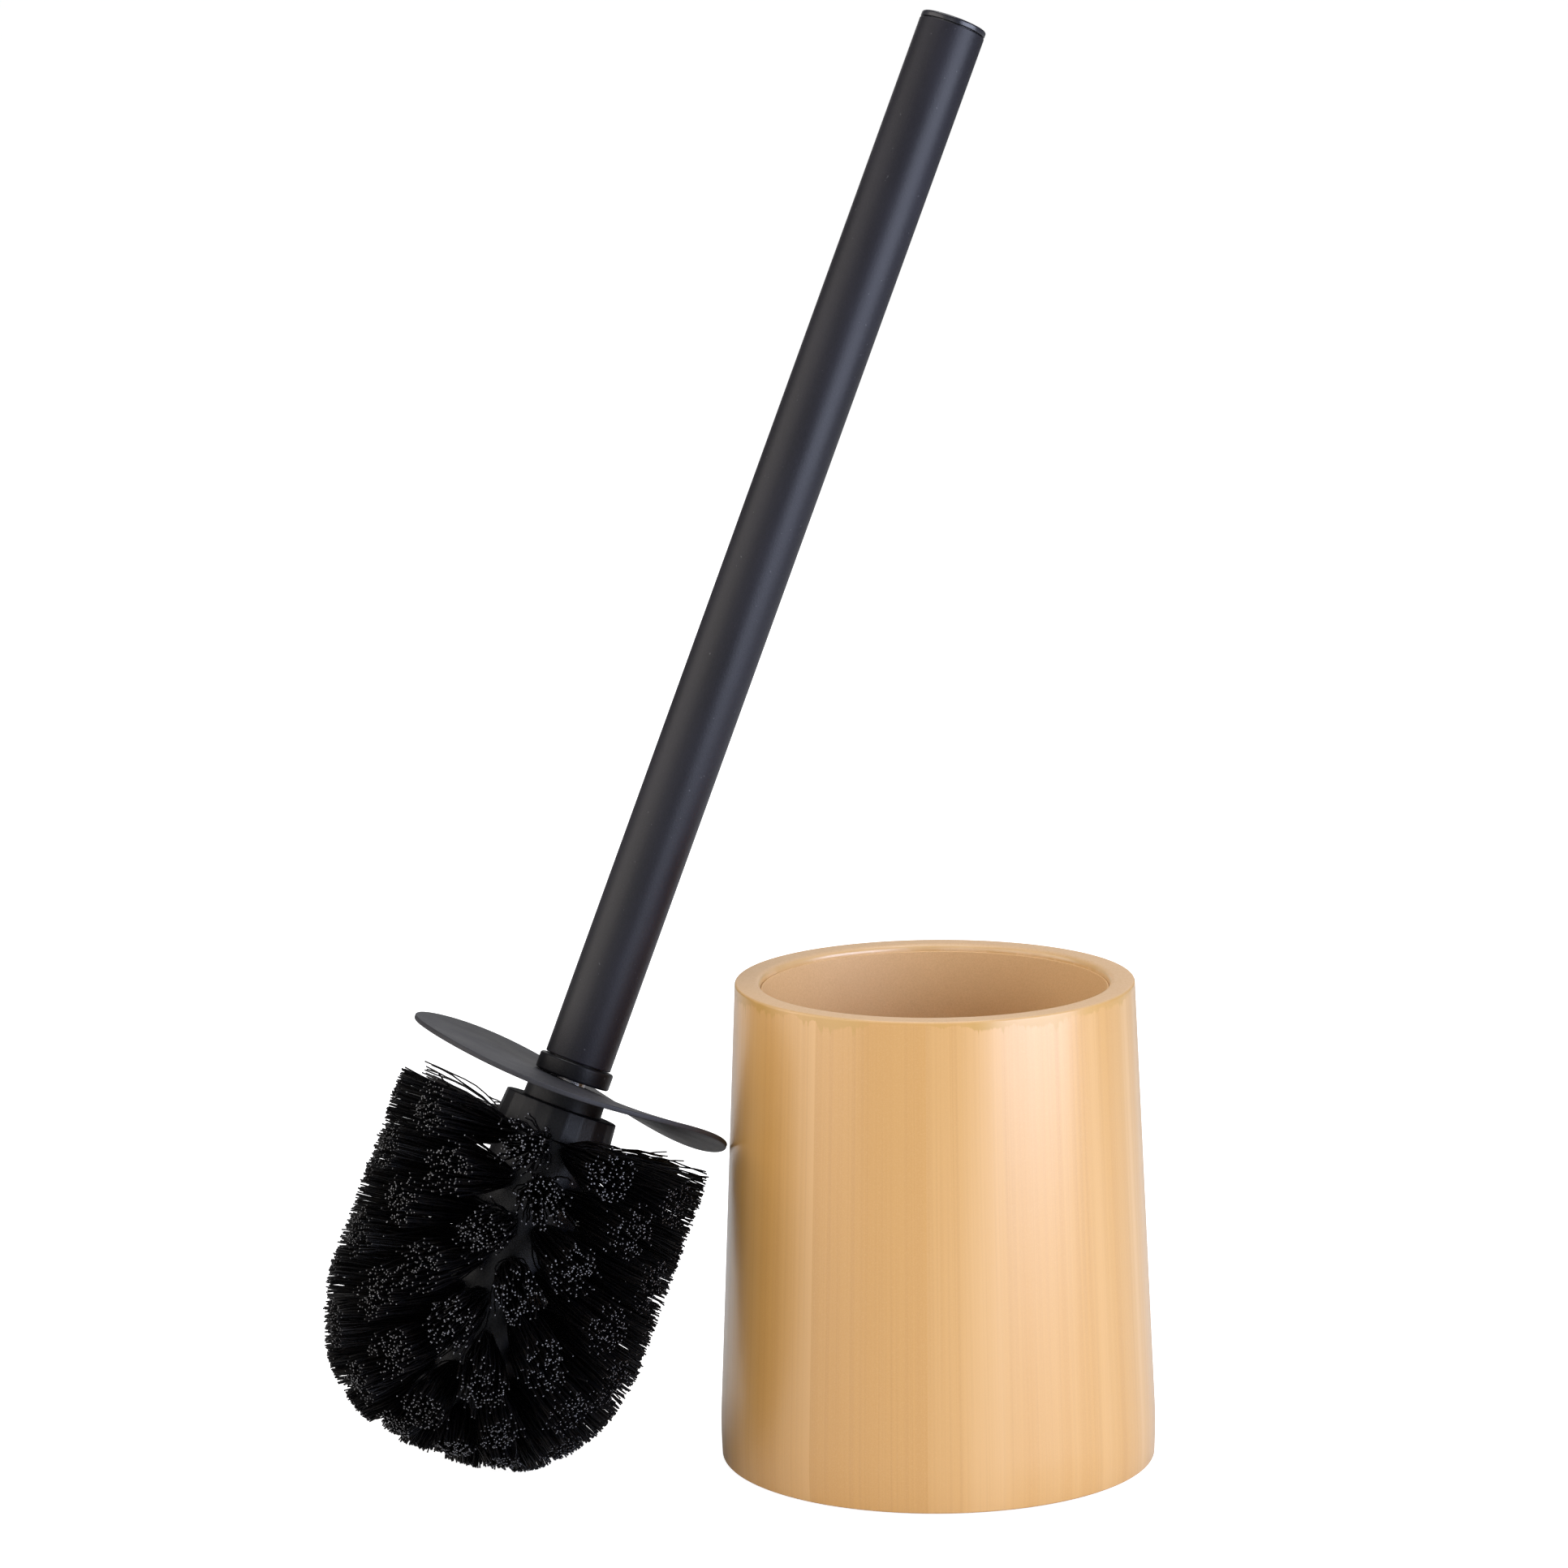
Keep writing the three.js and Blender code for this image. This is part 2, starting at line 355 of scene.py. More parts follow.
def finish_mesh(name: str, shape: bmesh.types.BMesh, place: Matrix, sharp: float = 35.0) -> Piece:
    """Makes an object of a built shape, with its place in its mesh and its faces pointing out.

    Args:
        name: The piece's name.
        shape: The shape in its own frame.
        place: The move from that frame to the row's.
        sharp: The angle in degrees past which an edge shades sharp.

    Returns:
        The new object.
    """
    bmesh.ops.recalc_face_normals(shape, faces=shape.faces)
    mesh = bpy.data.meshes.new(name)
    shape.to_mesh(mesh)
    shape.free()
    mesh.transform(place)
    mesh.shade_smooth()
    mesh.set_sharp_from_angle(angle=math.radians(sharp))
    return add_object(name, mesh)


def revolve(name: str, corners: list[Corner], closed: bool, place: Matrix, around: int = 192,
            steps: int = 8) -> Piece:
    """Turns an outline about the Z axis into a closed piece.

    Args:
        name: The piece's name.
        corners: The outline's corners in millimetres, as for arc_outline.
        closed: Whether the outline closes on itself, or starts and ends on the axis.
        place: The move from the piece's frame to the row's.
        around: Steps around the axis.
        steps: Steps in each fillet.

    Returns:
        The new object.
    """
    shape = bmesh.new()
    rings = []
    for radius, height in arc_outline(corners, closed, steps):
        if radius < ON_AXIS:
            rings.append([shape.verts.new((0, 0, height * MM))] * around)
            continue
        ring = []
        for step in range(around):
            angle = 2 * math.pi * step / around
            ring.append(shape.verts.new((radius * MM * math.cos(angle), radius * MM * math.sin(angle),
                                         height * MM)))
        rings.append(ring)
    pairs = list(zip(rings, rings[1:]))
    if closed:
        pairs.append((rings[-1], rings[0]))
    for lower, upper in pairs:
        for step in range(around):
            following = (step + 1) % around
            loop = [lower[step], lower[following], upper[following], upper[step]]
            shape.faces.new(list(dict.fromkeys(loop)))
    return finish_mesh(name, shape, place)


def dress(piece: Piece, body: Body, slot: Slot, material: Material, *nodes: str) -> None:
    """Gives a made piece its material and its body, and hides the CAD nodes that it stands for.

    Args:
        piece: The made piece.
        body: The body it moves with.
        slot: The record's material slot; not used.
        material: Its material.
        *nodes: The CAD nodes that it replaces.
    """
    if not piece.data.materials:
        piece.data.materials.append(material)
    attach(piece, body.value)
    if nodes:
        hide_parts(*nodes)
    LOG.info("%s: %d faces, on %s", piece.name, len(piece.data.polygons), body.value)


def redress(node: str, material: Material) -> None:
    """Gives a CAD node that stays in view a better material.

    Args:
        node: The node's name.
        material: Its new material.
    """
    slots = frame["nodes"][node].data.materials
    if len(slots) == 0:
        slots.append(material)
    for index in range(len(slots)):
        slots[index] = material
    LOG.info("%s: CAD piece dressed with %s", node, material.name)


@dataclass(frozen=True)
class Grain:
    """One size of upright grain: lines per metre, their change with height, and finer detail."""

    scale: float
    along: float
    detail: float


@dataclass(frozen=True)
class LacqueredBamboo:
    """Straight-grained bamboo under satin lacquer, with a bare sanded rim, lacquer runs and a bore wall painted paler
    to offset the shade inside it.
    """

    rim_height: float
    rim_radius: float
    pale: tuple = colour(0.735, 0.430, 0.160)
    honey: tuple = colour(0.640, 0.335, 0.085)
    fibre: tuple = colour(0.42, 0.19, 0.042)
    bare_rim: tuple = colour(0.66, 0.43, 0.23)
    # Painted light: the paler colour laid on the bore wall to lift the shade inside it.
    bore: tuple = colour(0.80, 0.56, 0.31)
    run: tuple = colour(0.57, 0.315, 0.06)
    bands: Grain = Grain(60.0, 0.012, 2.0)
    strips: Grain = Grain(260.0, 0.010, 3.0)
    fibres: Grain = Grain(950.0, 0.003, 3.0)
    threads: Grain = Grain(2300.0, 0.003, 2.0)
    roughness: tuple[float, float] = (0.33, 0.42)
    rim_roughness: float = 0.32
    coat: tuple[float, float] = (1.0, 0.15)
    coat_roughness: float = 0.27
    slats: int = 11
    first_joint: float = 94.2
    slat_seed: float = 26.0
    bore_light_fade: tuple[float, float] = (0.004, 0.003)
    rim_fade: tuple[float, float] = (0.0007, 0.0002)
    edge_fade: tuple[float, float] = (0.0002, 0.0005)
    run_start: float = 0.0003
    run_least: float = 0.0006
    run_length: float = 0.0032
    streak_length: float = 0.0045

    def material(self) -> Material:
        """Builds the material.

        Returns:
            The bamboo's material.
        """
        finish = Finish("lacquered_bamboo", self.roughness[0], 0.65)
        x, y, z = finish.split()
        flat = finish.combine(x, y, 0.0)
        around = finish.scaled(finish.vector("NORMALIZE", flat), self.rim_radius)
        radius = finish.add("ShaderNodeVectorMath", {0: flat}, operation="LENGTH").outputs["Value"]
        sizes = (self.bands, self.strips, self.fibres, self.threads)
        bands, strips, fibres, threads = (self._grain(finish, around, z, size) for size in sizes)
        pores = finish.noise(2600.0, detail=2.0, roughness=0.7)
        base = finish.blend(self.pale, self.honey, finish.remap(bands, (0.38, 0.64), (0.0, 0.75), smooth=True))
        turn = finish.math("MULTIPLY_ADD", finish.math("ARCTAN2", y, x), self.slats / (2 * math.pi),
                           self.slats * self.first_joint / 360)
        number = finish.math("ADD", finish.math("FLOOR", turn), self.slat_seed)
        slat = finish.add("ShaderNodeTexWhiteNoise", {"W": number}, noise_dimensions="1D")
        layers = (
            (self.honey, slat.outputs["Value"], (0.25, 0.8), 0.85),
            (self.honey, strips, (0.42, 0.68), 0.42),
            (self.fibre, fibres, (0.48, 0.78), 0.17),
            (self.fibre, threads, (0.50, 0.78), 0.16),
            (self.pale, pores, (0.45, 0.8), 0.35),
        )
        for tint, pattern, span, strength in layers:
            base = finish.wash(base, tint, pattern, span, strength)
        # Painted light: inside the bore the colour is washed towards a paler tone to offset the shade there; outside
        # is the share of the surface beyond the bore wall.
        outside = finish.remap(radius, (self.rim_radius - self.bore_light_fade[0], self.rim_radius - self.bore_light_fade[1]))
        base = finish.blend(finish.blend(base, self.bore, 0.7), base, outside)
        soaked = self._lacquer_runs(finish, base, z, around, fibres)
        base = finish.blend(base, soaked, finish.remap(outside, (0.0, 1.0), (0.35, 1.0)))
        rise = (self.rim_height - self.rim_fade[0], self.rim_height - self.rim_fade[1])
        edge = (self.rim_radius + self.edge_fade[0], self.rim_radius - self.edge_fade[1])
        rim = finish.math("MULTIPLY", finish.remap(z, rise, smooth=True), finish.remap(radius, edge))
        speckle = finish.noise(1700.0, detail=3.0, roughness=0.7)
        bare = finish.wash(self.bare_rim, self.fibre, speckle, (0.45, 0.85), 0.35)
        finish.set("Base Color", finish.blend(base, bare, rim))
        satin = finish.remap(strips, (0.3, 0.7), self.roughness)
        finish.set("Roughness", finish.math("ADD", satin, finish.math("MULTIPLY", rim, self.rim_roughness)))
        relief = finish.math("ADD", finish.math("MULTIPLY", fibres, 0.6), finish.math("MULTIPLY", pores, 0.25))
        finish.raise_surface(relief, 0.16, 0.00015)
        finish.set("Coat Weight", finish.remap(rim, (0.0, 1.0), self.coat))
        finish.set("Coat Roughness", self.coat_roughness)
        return finish.material

    def _grain(self, finish: Finish, around: Socket, z: Socket, size: Grain) -> Socket:
        """Noise round the rim's circle, drawn out into upright lines down the height."""
        place = finish.total(around, finish.combine(0.0, 0.0, finish.math("MULTIPLY", z, size.along)))
        return finish.noise(size.scale, detail=size.detail, roughness=0.6, place=place)

    def _lacquer_runs(self, finish: Finish, base: Socket, z: Socket, around: Socket, fibres: Socket) -> Socket:
        """Adds the darker lacquer soaked into the end grain just under the rim.

        Args:
            finish: The material under construction.
            base: The colour so far.
            z: The height's socket.
            around: The place on the rim's circle.
            fibres: The fibre noise, which draws the runs out into streaks.

        Returns:
            The colour with the runs.
        """
        patch = finish.remap(finish.noise(45.0, detail=2.0, place=around), (0.42, 0.54))
        ragged = finish.remap(finish.noise(260.0, detail=3.0, roughness=0.6, place=around), (0.34, 0.66), (0.25, 1.0))
        streak = finish.remap(fibres, (0.52, 0.78), (0.0, self.streak_length))
        soaked = finish.math("ADD", finish.math("MULTIPLY", ragged, self.run_length), streak)
        reach = finish.math("MULTIPLY_ADD", patch, soaked, self.run_least)
        depth = finish.math("SUBTRACT", self.rim_height - self.run_start, z)
        wet = finish.remap(finish.math("DIVIDE", depth, reach), (1.05, 0.70), (0.0, 0.9), smooth=True)
        strength = finish.remap(patch, (0.0, 1.0), (0.35, 1.0))
        return finish.blend(base, self.run, finish.math("MULTIPLY", wet, strength))


@dataclass(frozen=True)
class TanLiner:
    """Matte tan moulded plastic with a fine sandy speckle."""

    base: tuple = colour(0.74, 0.47, 0.225)
    dark: tuple = colour(0.56, 0.325, 0.140)

    def material(self) -> Material:
        """Builds the material.

        Returns:
            The cup's material.
        """
        finish = Finish("tan_liner", 0.55, 0.4)
        speckle = finish.noise(2200.0, detail=3.0, roughness=0.75)
        cloud = finish.noise(35.0, detail=2.0)
        tone = finish.wash(self.base, self.dark, speckle, (0.35, 0.75), 0.55)
        finish.set("Base Color", finish.wash(tone, self.dark, cloud, (0.4, 0.8), 0.3))
        finish.set("Roughness", finish.remap(speckle, (0.3, 0.7), (0.5, 0.66)))
        finish.raise_surface(speckle, 0.25, 0.0002)
        return finish.material


@dataclass(frozen=True)
class DarkCoat:
    """A dark moulded or coated surface: grain, soft clouding and dust specks."""

    name: str
    base: tuple
    light: tuple
    roughness: tuple[float, float]
    grain: float
    relief: float
    specular: float = 0.5
    streak: float = 1.0
    dust: float = 0.35
    speck: tuple = colour(0.16, 0.16, 0.17)

    def material(self, place: BrushFrame | None) -> Material:
        """Builds the material.

        Args:
            place: The frame in which its streaks run along Z, or None for the row's.

        Returns:
            The coat's material.
        """
        finish = Finish(self.name, self.roughness[0], self.specular)
        if place is not None:
            finish.seen_from(place.origin, place.turn)
        grain = finish.noise(self.grain, detail=3.0, roughness=0.7)
        cloud = finish.noise(90.0, (1.0, 1.0, self.streak), detail=3.0)
        specks = finish.noise(900.0, detail=1.0)
        tone = finish.wash(self.base, self.light, cloud, (0.35, 0.75), 0.7)
        tone = finish.wash(tone, self.light, grain, (0.45, 0.8), 0.5)
        finish.set("Base Color", finish.wash(tone, self.speck, specks, (0.765, 0.80), self.dust))
        finish.set("Roughness", finish.remap(cloud, (0.3, 0.75), self.roughness))
        finish.raise_surface(finish.math("ADD", grain, finish.math("MULTIPLY", cloud, 0.6)), self.relief, 0.0002)
        return finish.material


@dataclass(frozen=True)
class BristleFilament:
    """Glossy black filament whose cut ends, which the attribute of the same name marks, carry a painted highlight in
    pale grey.
    """

    cut_mark: str
    black: tuple = colour(0.003, 0.003, 0.004)
    brown: tuple = colour(0.010, 0.008, 0.007)
    # Painted highlight: the pale grey of cut ends that catch the light.
    cut: tuple = colour(0.21, 0.21, 0.22)

    def material(self) -> Material:
        """Builds the material.

        Returns:
            The filaments' material.
        """
        finish = Finish("bristle_filament", 0.42, 0.3)
        tone = finish.noise(420.0, detail=2.0)
        shade = finish.wash(self.black, self.brown, tone, (0.4, 0.7))
        end = finish.add("ShaderNodeAttribute", attribute_name=self.cut_mark, attribute_type="GEOMETRY")
        # Painted highlight: a random share of the cut ends is painted pale grey, standing in for end faces that catch
        # the light.
        painted_glint = finish.noise(3100.0, detail=0.0)
        cut = finish.blend(self.brown, self.cut, finish.remap(painted_glint, (0.44, 0.58), (0.08, 1.0)))
        finish.set("Base Color", finish.blend(shade, cut, end.outputs["Fac"]))
        finish.set("Roughness", finish.remap(end.outputs["Fac"], (0.0, 1.0), (0.36, 0.6)))
        return finish.material


@dataclass(frozen=True)
class PlainSteel:
    """Turned steel with fine rings round the brush's axis."""

    dull: tuple = colour(0.42, 0.42, 0.44)
    bright: tuple = colour(0.62, 0.62, 0.63)

    def material(self, place: BrushFrame) -> Material:
        """Builds the material.

        Args:
            place: The frame whose Z axis the rings run around.

        Returns:
            The stud's material.
        """
        finish = Finish("turned_steel", 0.32, 0.5)
        finish.seen_from(place.origin, place.turn)
        rings = finish.noise(5200.0, (0.02, 0.02, 1.0), detail=1.0)
        finish.set("Base Color", finish.blend(self.dull, self.bright, rings))
        finish.set("Metallic", 1.0)
        finish.set("Roughness", finish.remap(rings, (0.3, 0.7), (0.24, 0.42)))
        finish.raise_surface(rings, 0.2, 0.0001)
        return finish.material


@dataclass
class BambooHolder:
    """The tapered shell, with its base disc and pad. Sizes in millimetres."""

    base_radius: float = 58.3
    rim_radius: float = 52.6
    bore_radius: float = 45.9
    recess_radius: float = 51.3
    recess_top: float = 9.8
    foot_pull_in: float = 0.75
    foot_curve_height: float = 9.0
    foot_curve_radius: float = 110.0
    outer_edge: float = 0.7
    inner_edge: float = 1.6
    foot_edge: float = 0.6

    def build(self) -> Piece:
        """Makes the shell.

        Returns:
            The shell.
        """
        low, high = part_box("bamboo_shell")
        bottom, top = low.z / MM, high.z / MM
        taper = (self.base_radius - self.rim_radius) / top
        corners = [
            (self.recess_radius, bottom, 0.0),
            (self.base_radius - self.foot_pull_in, bottom, self.foot_edge),
            (self.base_radius - taper * self.foot_curve_height, self.foot_curve_height, self.foot_curve_radius),
            (self.rim_radius, top, self.outer_edge),
            (self.bore_radius, top, self.inner_edge),
            (self.bore_radius, self.recess_top, 0.0),
            (self.recess_radius, self.recess_top, 0.0),
        ]
        return revolve("shell_of_bamboo", corners, True, Matrix.Identity(4), around=288)

    def dress(self) -> None:
        """Makes and dresses the shell, the base disc and the pad."""
        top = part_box("bamboo_shell")[1].z
        bamboo = LacqueredBamboo(rim_height=top, rim_radius=self.rim_radius * MM).material()
        dress(self.build(), Body.HOLDER, Slot.BAMBOO, bamboo, "bamboo_shell")
        redress("base_disc", bamboo)
        foam = DarkCoat("foam_pad", colour(0.012, 0.011, 0.010), colour(0.045, 0.042, 0.040),
                        roughness=(0.75, 0.9), grain=1800.0, relief=0.6, specular=0.2)
        redress("anti_slip_pad", foam.material(None))


@dataclass
class LiftOutCup:
    """The thin tapered liner. Sizes in millimetres."""

    lip_radius: float = 45.35
    lip_wall: float = 0.45
    lip_taper: float = 14.0
    upper_radius: float = 43.5
    floor_radius: float = 42.0
    wall: float = 2.0
    floor_thickness: float = 2.4
    corner: float = 5.0
    lip_edge: float = 0.2

    def build(self) -> Piece:
        """Makes the cup.

        Returns:
            The cup.
        """
        low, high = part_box("inner_cup")
        bottom, lip = low.z / MM, high.z / MM
        corners = [
            (0.0, bottom, 0.0),
            (self.floor_radius + self.wall, bottom, self.corner + self.wall),
            (self.lip_radius + self.lip_wall, lip, self.lip_edge),
            (self.lip_radius, lip, self.lip_edge),
            (self.upper_radius, lip - self.lip_taper, 90.0),
            (self.floor_radius, bottom + self.floor_thickness, self.corner),
            (0.0, bottom + self.floor_thickness, 0.0),
        ]
        return revolve("liner_cup", corners, False, Matrix.Identity(4), around=256)

    def dress(self) -> None:
        """Makes and dresses the cup."""
        dress(self.build(), Body.CUP, Slot.CUP, TanLiner().material(), "inner_cup")


@dataclass
class BrushHandle:
    """The round tube, its end cap and its collar. Sizes in millimetres, along the brush's axis."""

    place: BrushFrame
    radius: float = 9.0
    wall: float = 0.8
    gap: float = 0.3
    cap_flange: float = 1.5
    cap_dome: float = 0.9
    cap_edge: float = 0.6
    collar_radius: float = 10.15
    collar_top: float = 7.3
    bore: float = 4.2

    def tube(self) -> Piece:
        """Makes the tube, with a small turned-in edge at both ends.

        Returns:
            The tube.
        """
        low, high = self.place.heights("handle_tube")
        inner = self.radius - self.wall
        corners = [(inner, low, 0.15), (self.radius, low, 0.35), (self.radius, high, 0.25), (inner, high, 0.15)]
        return revolve("rod", corners, True, self.place.matrix, around=128, steps=5)

    def end_cap(self) -> Piece:
        """Makes the cap: a shallow dome on a plug, with a small step above the tube's end.

        Returns:
            The cap.
        """
        low, high = self.place.heights("handle_end_cap")
        flange_top = high - self.cap_dome
        flange_bottom = flange_top - self.cap_flange
        plug = self.radius - self.wall - self.gap
        corners = [
            (0.0, low, 0.0),
            (plug, low, 1.0),
            (plug, flange_bottom, 0.0),
            (self.radius - 0.05, flange_bottom, 0.2),
            (self.radius - 0.05, flange_top, self.cap_edge),
            (self.radius * 0.5, high - 0.22, 12.0),
            (0.0, high, 0.0),
        ]
        return revolve("rod_end_cap", corners, False, self.place.matrix, around=128)

    def collar(self) -> Piece:
        """Makes the ring under the tube, with the plug that fits into it.

        Returns:
            The collar.
        """
        low, high = self.place.heights("handle_collar")
        plug = self.radius - self.wall - self.gap
        corners = [
            (self.bore, low, 0.0),
            (self.collar_radius, low, 0.6),
            (self.collar_radius, self.collar_top, 0.7),
            (plug, self.collar_top, 0.0),
            (plug, high, 1.0),
            (self.bore, high, 0.0),
        ]
        return revolve("rod_collar", corners, True, self.place.matrix, around=128)

    def dress(self) -> None:
        """Makes and dresses the handle's pieces, and dresses the stud."""
        coat = DarkCoat("satin_black_coat", colour(0.007, 0.0065, 0.010), colour(0.017, 0.016, 0.024),
                        roughness=(0.40, 0.48), grain=2000.0, relief=0.22, specular=0.34, streak=0.25, dust=0.3)
        cap = DarkCoat("cap_gloss", colour(0.009, 0.009, 0.013), colour(0.018, 0.018, 0.027),
                       roughness=(0.24, 0.34), grain=1500.0, relief=0.15, specular=0.6, dust=0.2)
        moulded = DarkCoat("moulded_black", colour(0.002, 0.002, 0.003), colour(0.008, 0.008, 0.011),
                           roughness=(0.32, 0.44), grain=1500.0, relief=0.25, specular=0.20, dust=0.2)
        dress(self.tube(), Body.HANDLE, Slot.HANDLE, coat.material(self.place), "handle_tube")
        dress(self.end_cap(), Body.HANDLE, Slot.FITTING, cap.material(self.place), "handle_end_cap")
        dress(self.collar(), Body.HANDLE, Slot.FITTING, moulded.material(self.place), "handle_collar")
        redress("threaded_stud", PlainSteel().material(self.place))


@dataclass
class SplashGuard:
    """The thin flexible disc, lifted at one side and warped. Sizes in millimetres at its edge."""

    place: BrushFrame
    radius: float = 44.58
    thickness: float = 1.3
    hole_radius: float = 4.4
    middle: float = 1.1
    dish: float = 0.37
    fall: tuple[float, float] = (-3.04, -0.66)
    saddle: tuple[float, float] = (0.50, -2.53)
    ripple: tuple[float, float] = (0.46, -0.82)
    edge: float = 0.35
    rings: int = 24

    def lift(self, x: float, y: float) -> float:
        """How far the disc's middle surface stands off the plane of the brush's frame.

        Args:
            x: The place to the right, in millimetres.
            y: The place to the back, in millimetres.

        Returns:
            The height in millimetres.
        """
        share = math.hypot(x, y) / self.radius
        angle = math.atan2(y, x)
        waves = enumerate((self.fall, self.saddle, self.ripple), start=1)
        fall, saddle, ripple = (ahead * math.cos(turns * angle) + aside * math.sin(turns * angle)
                                for turns, (ahead, aside) in waves)
        return self.middle + share * fall + share ** 2 * (self.dish + saddle) + share ** 3 * ripple

    def build(self) -> Piece:
        """Makes the disc in enough rings to bend, then warps it.

        Returns:
            The guard.
        """
        half = self.thickness / 2
        width = self.radius - self.hole_radius
        spread = [self.hole_radius + width * index / self.rings for index in range(self.rings)]
        under = [(radius, -half, 0.0) for radius in spread]
        over = [(radius, half, 0.0) for radius in reversed(spread)]
        rim = [(self.radius, -half, self.edge), (self.radius, half, self.edge)]
        guard = revolve("splash_disc", under + rim + over, True, Matrix.Identity(4), around=192, steps=4)
        for vertex in guard.data.vertices:
            vertex.co.z += self.lift(vertex.co.x / MM, vertex.co.y / MM) * MM
        guard.data.transform(self.place.matrix)
        return guard

    def dress(self) -> None:
        """Makes and dresses the guard."""
        sheet = DarkCoat("guard_sheet", colour(0.017, 0.017, 0.021), colour(0.036, 0.035, 0.041),
                         roughness=(0.50, 0.62), grain=1700.0, relief=0.45, specular=0.40, dust=0.7)
        dress(self.build(), Body.GUARD, Slot.GUARD, sheet.material(self.place), "splash_guard")


@dataclass(frozen=True)
class TuftRing:
    """One ring of tufts: where its roots sit and how far they droop. Millimetres and degrees."""

    count: int
    root_radius: float
    root_height: float
    droop: float
    offset: float
    seed: int
    stray: float = 3.4


@dataclass
class TuftGrower:
    """Grows rings of tufts with one geometry tree: each filament runs from its root to the trim.

    Lengths are in millimetres, and turn_play and droop_play in radians.
    """

    strands: int = 125
    root_spread: float = 2.4
    tip_spread: float = 6.8
    fan_length: float = 28.0
    longest: float = 200.0
    belly: float = 1.0
    strand_radius: float = 0.22
    strand_sides: int = 5
    crimp: float = 0.14
    crimp_turns: tuple[float, float, float] = (2.6, 3.1, 2.2)
    crimp_start: float = 0.4
    steps: int = 8
    turn_play: float = 0.055
    droop_play: float = 0.05
    crowding: float = 0.58
    stray_rarity: float = 9.0
    looseness: float = 1.1
    drift: float = 0.5
    short_cut: float = 1.3
    short_rarity: float = 3.0
    ragged_cut: float = 0.25
    cut_mark: str = "cut_end"
    numbers: dict[str, str] = field(default_factory=dict)

    def tree(self) -> bpy.types.NodeTree:
        """Builds the geometry tree.

        Returns:
            The tree, whose inputs are the ring's sizes.
        """
        tree = bpy.data.node_groups.new("tuft_ring", "GeometryNodeTree")
        tree.interface.new_socket("Tufts", in_out="OUTPUT", socket_type="NodeSocketGeometry")
        wanted = {
            "Int": ("Count", "Strands", "Seed"),
            "Float": ("Root Radius", "Root Height", "Droop", "Offset", "Root Spread", "Tip Spread", "Belly",
                      "Strand Radius", "Crimp", "Stray"),
            "Object": ("Trim",),
            "Material": ("Material",),
        }
        for kind, names in wanted.items():
            for name in names:
                socket = tree.interface.new_socket(name, in_out="INPUT", socket_type="NodeSocket" + kind)
                self.numbers[name] = socket.identifier
        bench = NodeBench(tree)
        inputs = bench.add("NodeGroupInput").outputs
        number = bench.math("MULTIPLY", inputs["Count"], inputs["Strands"])
        points = bench.first("GeometryNodePoints", {"Count": number})
        ends = self._ends(bench, inputs)
        held = bench.add("GeometryNodeCaptureAttribute", domain="POINT")
        for name in ends:
            held.capture_items.new("VECTOR", name)
        for name, value in {"Geometry": points, **ends}.items():
            bench.plug(held.inputs[name], value)
        strand = bench.first("GeometryNodeCurvePrimitiveLine", {"End": (0.0, 0.0, 1.0)})
        dotted = bench.first("GeometryNodeResampleCurve", {"Curve": strand, "Count": self.steps + 1})
        copies = bench.first("GeometryNodeInstanceOnPoints",
                             {"Points": held.outputs["Geometry"], "Instance": dotted})
        real = bench.first("GeometryNodeRealizeInstances", {0: copies})
        path = self._path(bench, inputs, held)
        bent = bench.first("GeometryNodeSetPosition", {"Geometry": real, "Position": path})
        ring = bench.first("GeometryNodeCurvePrimitiveCircle",
                           {"Resolution": self.strand_sides, "Radius": inputs["Strand Radius"]}, mode="RADIUS")
        solid = bench.first("GeometryNodeCurveToMesh", {"Curve": bent, "Profile Curve": ring, "Fill Caps": True})
        # Only the cut ends have as many corners as a strand has sides.
        corners = bench.add("GeometryNodeCornersOfFace").outputs["Total"]
        cut = bench.math("COMPARE", corners, float(self.strand_sides), 0.1)
        marked = bench.first("GeometryNodeStoreNamedAttribute",
                             {"Geometry": solid, "Name": self.cut_mark, "Value": cut},
                             data_type="FLOAT", domain="FACE")
        soft = bench.first("GeometryNodeSetShadeSmooth", {"Geometry": marked})
        plain = bench.first("GeometryNodeRealizeInstances", {0: soft})
        coated = bench.first("GeometryNodeSetMaterial", {"Geometry": plain, "Material": inputs["Material"]})
        bench.add("NodeGroupOutput", {0: coated})
        return tree

    def _chance(self, bench: NodeBench, seed: Socket, shift: int,
                span: tuple[float, float] = (0.0, 1.0), each: Value | None = None) -> Socket:
        """A random number for each strand or tuft.

        Args:
            bench: The tree under construction.
            seed: The ring's seed.
            shift: Keeps this draw apart from the others.
            span: The lowest and highest value.
            each: What each draw belongs to, or None for each strand.

        Returns:
            The number's socket.
        """
        node = bench.add("FunctionNodeRandomValue", data_type="FLOAT")
        sockets = [socket for socket in node.inputs if socket.enabled]
        low, high = sockets[0], sockets[1]
        bench.plug(low, span[0])
        bench.plug(high, span[1])
        bench.plug(node.inputs["Seed"], bench.math("ADD", seed, float(shift)))
        if each is not None:
            bench.plug(node.inputs["ID"], each)
        return next(socket for socket in node.outputs if socket.enabled)

